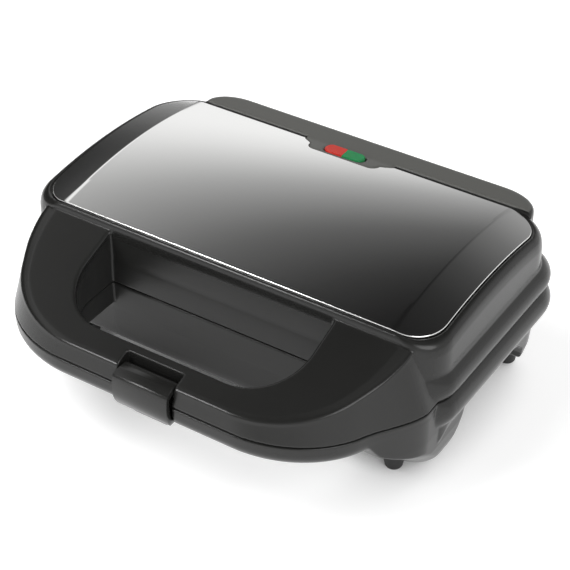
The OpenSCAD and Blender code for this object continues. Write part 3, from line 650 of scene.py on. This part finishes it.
legs = {
    "frontZ": 12.0, "rearZ": 14.0, "topDrop": 4.0,
    # rows: height above the front leg's foot, how far the skin is drawn in
    "skin": [(0, 7), (0.3, 6), (1.5, 4), (4, 2.8), (8, 1.6), (16, 0.6), (28, 0.1)],
    # rows: the same height, inner side, outer side, front and rear side, radius of the front corners
    "block": [(0, -31.5, -6.7, 5.8, 32.5, 14.5), (0.3, -33, -5.2, 4.3, 34, 15.5),
              (2, -33, -3.8, 1.8, 36, 15.5), (6, -33, -2, -1.5, 38, 15.5), (12, -33.5, -0.6, -7, 40.5, 16),
              (18, -34, 0, -14, 43, 16), (24, -35, 0, -22, 46, 17), (30, -37, 0, -30, 49, 18)],
    "skinTop": 0.1, "blockTop": (-39, 0, -38, 53, 18),
    "rearCornerR": 11.5,
}
posts = {"places": [(0, -13.5), (0, 70.5), (61, 28.5), (-61, 28.5)],
         "r": 5.4, "drop": 17.15, "boreR": 3.4, "boreDrop": 25.0}
gland = {"x": -72.0, "z": 41.0, "r": 4.5, "seatR": 6.1, "face": 100.95}


def skirtRing(e, up):
    # the skirt hangs lower between the front legs
    ring = []
    for x, y in plan(e):
        hang = shell["apron"] * (1 - smooth((y - plate["front"]) / shell["apronD"]))
        ring.append((x, y, shell["skirtZ"] + up - hang))
    return ring


def baseBody():
    out, z = shell["out"], shell["baseZ"]
    # rows: distance outside the plate's outline, height above the skirt's edge
    skirt = [(1, -0.8), (2.8, -0.5), (4.2, 0), (5.2, 0.9), (out - 0.6, 2.4), (out - 0.1, 4), (out + 0.3, 6)]
    floor = [flatRing(-18, z), flatRing(-15.5, z + 0.8)]
    wall = beadRings(baseTop - shell["baseBeadH"], out + 0.6, baseTop, out + shell["valley"], shell["bead"])
    return loftMesh("base", floor + [skirtRing(e, up) for e, up in skirt] + wall)


def lowerHandle():
    bottom = baseTop - handle["lowH"]
    r = handle["lowH"] * handle["lowRound"]
    n = 12
    rings = []
    for i in range(n):
        a = math.radians(90 * i / n)
        rings.append(lift(handleRing(r * (1 - math.sin(a))), bottom + r * (1 - math.cos(a))))
    rings += [lift(handleRing(0), mix(bottom + r, baseTop, i / 4)) for i in range(5)]
    grip = loftMesh("grip", [lift(gripOutline(0), z) for z in (bottom - 1, baseTop + 1)])
    return combine(loftMesh("bar", rings), [grip], "DIFFERENCE")


def frontLeg():
    foot, top = legs["frontZ"], baseTop - legs["topDrop"]
    rows = [(foot + up, d) for up, d in legs["skin"]] + [(top, legs["skinTop"])]
    leg = loftMesh("leg", [lift(handleRing(d, 0.2, 56), z) for z, d in rows])
    rows = [(foot + up, *sizes) for up, *sizes in legs["block"]] + [(top, *legs["blockTop"])]
    rings = []
    for z, side, out, y0, y1, r in rows:
        inner, outer = plate["w"] / 2 + side, bodyCornerX + 0.3 + out
        half = halfRect((outer - inner) / 2, plate["front"] + y0, plate["front"] + y1, r, legs["rearCornerR"])
        rings.append([(x + (outer + inner) / 2, y, z) for x, y in mirrored(half)])
    return combine(leg, [loftMesh("block", rings)], "INTERSECT")


def rearLeg():
    z, top, rear = legs["rearZ"], shell["skirtZ"], plate["rear"]
    rows = [(-0.4, z), (0.6, z + 0.3), (1.8, z + 1.2), (2.8, z + 3),
            (shell["out"] - 2, z + 10), (shell["out"] - 0.8, top + 4)]
    leg = loftMesh("skirt", [flatRing(e, up) for e, up in rows])
    side = slabMesh([(rear + 10, z - 1), (rear + 10, top + 4), (rear - 42, top + 4), (rear - 38, top + 0.8),
                     (rear - 33, top - 0.4), (rear - 29, top - 2), (rear - 26, top - 4.4),
                     (rear - 23.5, top - 8), (rear - 21, top - 13), (rear - 19.8, z + 2),
                     (rear - 18.8, z + 0.5), (rear - 16.5, z - 1)],
                    plate["w"] / 2 - 30, plate["w"] / 2 + 30)
    return combine(leg, [side], "INTERSECT")


def baseEar():
    h = hinge
    ear = rodMesh(h["x"], h["y"], h["z"], h["knuckleR"], h["w"])
    block = boxMesh((h["x"] - h["w"] / 2, h["reliefY"] - 1, h["z"] - h["knuckleR"]),
                    (h["x"] + h["w"] / 2, h["y"], h["z"] + 2.8))
    return combine(ear, [block], "UNION")


def baseRoom():
    inner = shell["out"] - shell["wall"]
    z, skirt = shell["baseZ"] + shell["wall"], shell["skirtZ"]
    rows = [(-21.5, z), (-19.5, z + 0.6), (-3, skirt + 1), (inner - 2, skirt + 2.2),
            (inner, skirt + 6), (inner, baseTop + 1)]
    return loftMesh("room", [lift(room(e), up) for e, up in rows])


def glandSeat():
    g = gland
    return [rodMesh(g["x"], g["face"] + 10, g["z"], g["seatR"], 20, "y"),
            rodMesh(g["x"], g["face"], g["z"], g["r"], 30, "y")]


def lowerHousing():
    piece = baseBody()
    pair = [frontLeg(), rearLeg()]
    combine(piece, [lowerHandle(), *(mirrorCopy(leg) for leg in pair), *pair], "UNION")
    relief = boxMesh((-hinge["reliefX"], hinge["reliefY"], hinge["reliefZ"]),
                     (hinge["reliefX"], 130, baseTop + 1))
    latchRoom = notchBox(baseTop - handle["lowH"] - 1, baseTop + 1, notch["lowD"])
    combine(piece, [baseRoom(), relief, latchRoom], "DIFFERENCE")
    ear = baseEar()
    combine(piece, [mirrorCopy(ear), ear], "UNION")
    z = shell["baseZ"]
    combine(piece, [postMesh(x, y, z + 1, baseTop - posts["drop"], posts["r"]) for x, y in posts["places"]],
            "UNION")
    bores = [postMesh(x, y, z - 1, baseTop - posts["boreDrop"], posts["boreR"]) for x, y in posts["places"]]
    combine(piece, bores + glandSeat(), "DIFFERENCE")
    return moulded(piece)


lowerPiece = lowerHousing()
dress(lowerPiece, "lower_housing_skin", blackPlastic, "lower_housing", "base")
print("lower housing:", len(lowerPiece.data.polygons), "faces")


# upper housing

spineSize = {"halfW": 116.0, "round": 22.0, "short": 12.0, "top": 99.6, "front": 96.15, "rear": 112.55,
             "roomLeft": -82.0, "roomRight": 94.0, "roomFront": 89.7, "roomUp": 9.0}
lens = {"l": 26.0, "w": 8.6, "gap": 0.6, "seat": 0.9, "y": plate["rear"] - plate["tongueD"] / 2 + 0.4}


def lidBody():
    top = lidZ + shell["beadH"]
    out, drop = shell["out"], shell["lipDrop"]
    # rows: distance outside the plate's outline, drop below its surface
    lip = [(out - 0.2, drop + 1.2), (out - 0.4, drop), (out - 0.7, drop - 1.6), (out - 1.2, drop - 3.3),
           (out - 1.8, drop - 4.4), (4, 2.2), (3.2, 1.5), (2.2, 1), (1.5, 0.8), (0.9, 0.8), (0.5, 2.15),
           (shell["seat"], shell["deckDrop"])]
    rings = beadRings(lidZ, out + shell["valley"], top, out + 0.2, shell["bead"] - shell["lidBeadLess"])
    rings += [flatRing(out, top + 2), flatRing(out, top + 4)] + [edgeRing(e, d) for e, d in lip]
    rings += [creaseRing(i, shell["deckDrop"], max(plate["r"] - i, 0.6)) for i in (5, 10, 15, 18, 19.2)]
    return loftMesh("lid", rings)


def lidRoom():
    inner, wall = shell["out"] - shell["wall"], shell["wall"]
    drop = shell["lipDrop"]
    return loftMesh("room", [
        lift(room(inner), lidZ - 1), lift(room(inner), lidZ + shell["beadH"]),
        edgeRing(inner - 1.6, drop + 2.5), edgeRing(-1, drop - 1.5),
        edgeRing(-3, shell["deckDrop"] + wall), creaseRing(19.2, shell["deckDrop"] + wall, 0.8)])


def upperHandle():
    wallTop = onDeck(handleEdge, 2.4)
    foot = lift(handleRing(0), lidZ)
    edge, deck = onDeck(handleEdge, 1.5), onDeck(handleDeck, 1.5)
    rings = [between(foot, wallTop, i / 10) for i in range(11)]
    rings += [between(wallTop, edge, 0.7), between(edge, deck, 0.05),
              between(onDeck(handleEdge, 1.1), onDeck(handleDeck, 1.1), 0.16),
              between(onDeck(handleEdge, 1.0), onDeck(handleDeck, 0), 0.35), onDeck(handleDeck, 0)]
    rim = handle["gripRim"]
    grip = loftMesh("grip", [lift(gripOutline(0), lidZ - 1), onDeck(gripOutline(0), rim),
                             onDeck(gripOutline(rim), 0), onDeck(gripOutline(rim), -9)])
    return combine(loftMesh("bar", rings), [grip], "DIFFERENCE")


def spine():
    size = spineSize
    top, y0 = size["top"], size["front"] + 1.5
    # rows: height, how far the outline is drawn in
    rows = [(lidZ, 1.6), (lidZ + 0.5, 0.8), (lidZ + 1.4, 0.25), (lidZ + 3, 0),
            (top - 4, 0), (top - 2.6, 0.25), (top - 1.6, 0.8), (top - 0.8, 1.6), (top - 0.3, 2.6),
            (top - 0.05, 3.6), (top, 4.4)]
    n = 24
    rings = []
    for z, draw in rows:
        depth = size["rear"] - draw - y0
        ends = []
        for halfW in (size["halfW"] - draw, size["halfW"] - size["short"] - draw):
            end = [(halfW, size["front"])]
            for i in range(n + 1):
                a = math.radians(90 * i / n)
                end.append((halfW - size["round"] * (1 - math.cos(a)), y0 + depth * math.sin(a)))
            ends.append(end)
        rings.append(lift(ends[0] + [(-x, y) for x, y in reversed(ends[1])], z))
    return loftMesh("spine", rings)


def tongueOutline(d):
    # widens to the rear, where it meets the spine
    r, flare = plate["tongueR"], plate["tongueFlare"]
    y0, y1 = plate["rear"] - plate["tongueD"], plate["rear"]
    half = plate["tongueW"] / 2
    n = 12
    side = [(half + d + flare * smooth(i / n), mix(y0 + r, y1 - 0.5, i / n)) for i in range(1, n + 1)]
    return mirrored(arc(half - r, y0 + r, r + d, -90, -10, 10) + side + [(half + d + flare, y1 + 3.2)])


def tongue():
    up = plate["tongueUp"]
    foot = lift(tongueOutline(0), plate["rearZ"] - 5)
    edge = [(x, y, crownZ(y)) for x, y in tongueOutline(0)]
    top = [(x, y, crownZ(y) + up) for x, y in tongueOutline(-up)]
    return loftMesh("tongue", [foot, edge, top])


def lensSeat():
    r = lens["w"] / 2 + lens["gap"]
    half = [(x + (lens["l"] - lens["w"]) / 2, y) for x, y in arc(0, lens["y"], r, -90, 90, 20)]
    return loftMesh("seat", [lift(mirrored(half), plate["rearZ"] + up) for up in (-lens["seat"], 6)])


def spineRoom():
    size, wall = spineSize, shell["wall"]
    low, ceiling, rear = lidZ + size["roomUp"], size["top"] - wall - 1, size["rear"] - wall
    return slabMesh([(size["roomFront"], low), (rear, low), (rear, size["top"] - 10), (rear - 6, ceiling),
                     (size["front"] + wall, ceiling), (size["roomFront"], plate["rearZ"] - 12)],
                    size["roomLeft"], size["roomRight"])


def lidKnuckles():
    h = hinge
    step = (h["w"] + h["lidW"]) / 2 + h["play"]
    knuckles = []
    for side in (-1, 1):
        for turn in (-1, 1):
            x = side * (h["x"] + turn * step)
            knuckles += [rodMesh(x, h["y"], h["z"], h["knuckleR"], h["lidW"]),
                         boxMesh((x - h["lidW"] / 2, h["y"] - h["knuckleR"], h["z"]),
                                 (x + h["lidW"] / 2, h["y"] + h["knuckleR"], lidZ + 2))]
    return knuckles


def upperHousing():
    h = hinge
    piece = lidBody()
    combine(piece, [upperHandle(), spine(), tongue()], "UNION")
    combine(piece, [lidRoom(), spineRoom()], "DIFFERENCE")
    combine(piece, lidKnuckles(), "UNION")
    combine(piece, [lensSeat()], "DIFFERENCE")
    earRooms = [rodMesh(side * h["x"], h["y"], h["z"], h["knuckleR"] + 2, h["w"] + 2 * h["play"])
                for side in (-1, 1)]
    combine(piece, earRooms + [notchBox(lidZ - 1, lidZ + notch["highH"], notch["highD"])], "DIFFERENCE")
    return moulded(piece)


upperPiece = upperHousing()
dress(upperPiece, "upper_housing_skin", blackPlastic, "upper_housing", "lid")
print("upper housing:", len(upperPiece.data.polygons), "faces")


# latch

catch = {"w": 34.8, "proud": 3.4, "t": 2.8, "edge": 0.7, "cornerR": 12.0, "topR": 2.0,
         "bossR": 3.4, "bossY": 7.6, "bossZ": 6.0, "bevelFrom": 38, "crisp": 40}


def curveThrough(points, n=6):
    # a smooth curve through the given points
    line = [points[0], *points, points[-1]]
    curve = []
    for a, b, c, d in zip(line, line[1:], line[2:], line[3:]):
        for i in range(n):
            t = i / n
            curve.append(tuple(0.5 * (2 * q + (r - p) * t + (2 * p - 5 * q + 4 * r - s) * t * t
                                      + (3 * q - p - 3 * r + s) * t ** 3)
                               for p, q, r, s in zip(a, b, c, d)))
    return curve + [points[-1]]


def latchProfile():
    # (y, z) points: down the face from the top, under the hook, and back up the inner side
    f, p = handle["front"], shell["parting"]
    face, hook = f - catch["proud"], baseTop - handle["lowH"] - 0.4
    back = face + catch["t"]
    outside = curveThrough([(f + 8.6, p + 9.5), (f + 4.1, p + 10.1), (f - 0.4, p + 9.1), (f - 2.7, p + 6.5),
                            (face, p + 0.5), (face + 0.3, p - 5.5), (f - 1.4, p - 10.5),
                            (f + 1.6, hook - 0.2), (f + 4.6, hook - 2.6), (f + 5.6, hook - 5.2),
                            (f + 8.6, hook - 5.7)])
    inside = curveThrough([(f + 9.6, hook - 3.7), (f + 9.6, hook), (f + 5.9, hook), (f + 2.9, hook + 2.6),
                           (back + 0.8, p - 7), (back, p - 1.5), (back, p + 4.6), (f + 2, p + 6.5),
                           (f + 7, p + 6)])
    return outside + inside, hook


def latchPiece():
    f, p = handle["front"], shell["parting"]
    profile, hook = latchProfile()
    half = catch["w"] / 2
    piece = slabMesh(profile, -half, half)
    r, top = catch["cornerR"], catch["topR"]
    low, high = hook - 5.8, p + 10.3
    shield = mirrored(arc(half - r, low + r, r, -90, 0, 14) + arc(half - top, high - top, top, 0, 90, 8))
    ends = [[(x, y, z) for x, z in shield] for y in (f - 6, f + 14)]
    combine(piece, [bridgeMesh("shield", ends)], "INTERSECT")
    boss = rodMesh(0, f + catch["bossY"], p + catch["bossZ"], catch["bossR"], catch["w"] - 0.6)
    combine(piece, [boss], "UNION")
    soft = piece.modifiers.new("soft", "BEVEL")
    soft.width, soft.segments = catch["edge"] * mm, 3
    soft.limit_method, soft.angle_limit = "ANGLE", math.radians(catch["bevelFrom"])
    settle(piece)
    smoothByAngle(piece, catch["crisp"])
    return piece


latchSkin = latchPiece()
dress(latchSkin, "latch_skin", blackPlastic, "latch", "latch")
print("latch:", len(latchSkin.data.polygons), "faces")


# steel plate

def plateRing(inset, drop):
    # a ring with stations beside the crease, so that the arch is shaded evenly across
    r = max(plate["r"] - inset, 0.5)
    half = halfRect(plate["w"] / 2 - inset, plate["front"] + inset, plate["rear"] - inset, r, r, 14, 40)
    reach = plate["w"] / 2 - inset - r
    stations = [min(plate["crease"] - 8, reach - 6), min(plate["crease"] - 2, reach - 2)]
    half = [(x, half[0][1]) for x in stations] + half + [(x, half[-1][1]) for x in reversed(stations)]
    return [(x, y, plateZ(x, y) - drop) for x, y in mirrored(half)]


def steelPlate():
    t, play = plate["t"], plate["play"]
    insets = (1.5, 3, 5, 8, 11, 14, 16, 17.5, 18.6, 19.2, 20, 20.8, 21.6, 24, 30)
    # rows: inset, drop below the top
    edge = [(0.6, t), (0.2, t), (0, t - 0.2), (0, 0.5), (0.12, 0.2), (0.3, 0.06), (0.55, 0)]
    rings = [plateRing(i, t) for i in reversed(insets)]
    rings += [plateRing(i, drop) for i, drop in edge] + [plateRing(i, 0) for i in insets]
    cutter = loftMesh("cutter", [lift(tongueOutline(play), z) for z in (85, 115)])
    return combine(loftMesh("plate", rings), [cutter], "DIFFERENCE")


def shadeArch(piece):
    # the top is shaded by the arch's own slope, and every other face as it is
    step = 0.05
    mesh = piece.data
    normals = [(0.0, 0.0, 0.0)] * len(mesh.loops)
    for face in mesh.polygons:
        arch = plateZ(face.center.x / mm, face.center.y / mm)
        if face.normal.z < 0.8 or face.center.z < (arch - 0.15) * mm:
            continue
        for i in face.loop_indices:
            x, y = (c / mm for c in mesh.vertices[mesh.loops[i].vertex_index].co[:2])
            slopes = (plateZ(x - step, y) - plateZ(x + step, y),
                      plateZ(x, y - step) - plateZ(x, y + step), 2 * step)
            size = math.hypot(*slopes)
            normals[i] = tuple(c / size for c in slopes)
    mesh.normals_split_custom_set(normals)


platePiece = steelPlate()
smoothByAngle(platePiece, plate["crisp"])
shadeArch(platePiece)
dress(platePiece, "top_plate_skin", steelSkin, "top_plate", "lid")
print("steel plate:", len(platePiece.data.polygons), "faces")


# studio, in metres and degrees

view = {"azimuth": 32.93, "elevation": 37.22, "distance": 0.977,
        "lens": 108.577, "sensor": 36.0,                    # these two in millimetres
        "target": (0.00241, 0.02158, 0.04961)}


def placeCamera():
    az, el = math.radians(view["azimuth"]), math.radians(view["elevation"])
    data = bpy.data.cameras.new("camera")
    data.lens, data.sensor_width = view["lens"], view["sensor"]
    data.clip_end = 50
    camera = bpy.data.objects.new("camera", data)
    back = (math.sin(az) * math.cos(el), -math.cos(az) * math.cos(el), math.sin(el))
    camera.location = [t + view["distance"] * b for t, b in zip(view["target"], back)]
    camera.rotation_euler = (math.pi / 2 - el, 0, az)
    bpy.context.scene.collection.objects.link(camera)
    bpy.context.scene.camera = camera


placeCamera()

studio = {
    # the sky darkens upwards and to the left; a white screen stands on the left
    "skyTilt": 0.717, "skyLow": -0.5, "skySpan": 1.75,
    "skyStops": [(0.23, 0.95), (0.40, 0.70), (0.52, 0.34), (0.617, 0.17), (0.686, 0.09), (0.714, 0.062),
                 (0.771, 0.031), (0.829, 0.016), (0.886, 0.012)],
    "screenTilt": 0.357, "screenLow": -0.65, "screenSpan": 0.6,
    "screenStops": [(0.08, 0.0), (0.17, 0.35), (0.25, 0.80), (0.35, 1.0), (0.44, 1.0), (0.50, 0.88),
                    (0.567, 0.62), (0.617, 0.42), (0.675, 0.28), (0.75, 0.125), (0.867, 0.038),
                    (0.967, 0.01)],
    "overheadStops": [(0.945, 0.0), (0.985, 0.34), (1.0, 0.38)],
    "floor": 0.80, "floorSize": 3.0, "floorGlow": 0.56,
    "shadowReach": 0.16,
    "shadowStops": [(0.0, 0.0), (0.2, 0.12), (0.55, 1.0)],
    # name, place, size, power, whether it shows in gloss
    "lamps": [("keyLamp", (-0.9, -0.6, 1.7), 1.3, 24.0, False),
              ("fillLamp", (1.3, -0.8, 1.2), 1.2, 11.0, True),
              ("rimLamp", (-0.85, -1.45, 0.85), 0.36, 5.5, True)],
}


def ramp(tree, value, stops):
    return tree.node("ValToRGB", {"stops": stops}, Fac=value)


def buildWorld():
    world = bpy.data.worlds.new("studioWorld")
    bpy.context.scene.world = world
    tree = Tree(world)
    way = tree.node("TexCoord", output="Generated")
    x, up = (tree.node("SeparateXYZ", output=axis, Vector=way) for axis in "XZ")
    sky = (up - x * studio["skyTilt"] - studio["skyLow"]) * (1 / studio["skySpan"])
    screen = (x + up * studio["screenTilt"] - studio["screenLow"]) * (1 / studio["screenSpan"])
    light = ramp(tree, sky, studio["skyStops"]).maths("MAXIMUM", ramp(tree, screen, studio["screenStops"]))
    light = light.maths("MAXIMUM", ramp(tree, up, studio["overheadStops"]))
    light = light.maths("MAXIMUM", tree.node("LightPath", output="Is Camera Ray"))    # the camera sees white
    tree.node("OutputWorld", Surface=tree.node("Background", Color=light, Strength=1.0))


def buildFloor():
    build = bmesh.new()
    bmesh.ops.create_grid(build, x_segments=1, y_segments=1, size=studio["floorSize"])
    floor = finishMesh("floor", build)
    material, tree = newMaterial("paleFloor")
    kinds = ("Is Camera Ray", "Is Glossy Ray", "Is Transmission Ray")
    camera, glossy, through = (tree.node("LightPath", output=kind) for kind in kinds)
    seen = (camera + glossy + through).clamp()
    level = studio["floor"]
    diffuse = tree.node("BsdfDiffuse", Color=(level, level, level, 1))
    near = tree.node("AmbientOcclusion", output="AO", Distance=studio["shadowReach"])
    shade = ramp(tree, near, studio["shadowStops"])        # the floor keeps its shadow where it glows
    glow = tree.node("Emission", Color=(1, 1, 1, 1), Strength=seen * shade * studio["floorGlow"])
    tree.node("OutputMaterial", Surface=tree.node("AddShader", i0=diffuse, i1=glow))
    floor.data.materials.append(material)


def buildLamps():
    for name, place, size, power, glossy in studio["lamps"]:
        data = bpy.data.lights.new(name, "AREA")
        data.shape, data.size, data.energy = "DISK", size, power
        lamp = bpy.data.objects.new(name, data)
        lamp.location = place
        aim = [t - p for t, p in zip(view["target"], place)]
        flat = math.hypot(aim[0], aim[1])
        lamp.rotation_euler = (math.atan2(flat, -aim[2]), 0, math.atan2(aim[1], aim[0]) - math.pi / 2)
        lamp.visible_glossy = glossy
        bpy.context.scene.collection.objects.link(lamp)


buildWorld()
buildFloor()
buildLamps()
bpy.context.scene.view_settings.view_transform = "Standard"
print("studio ready")
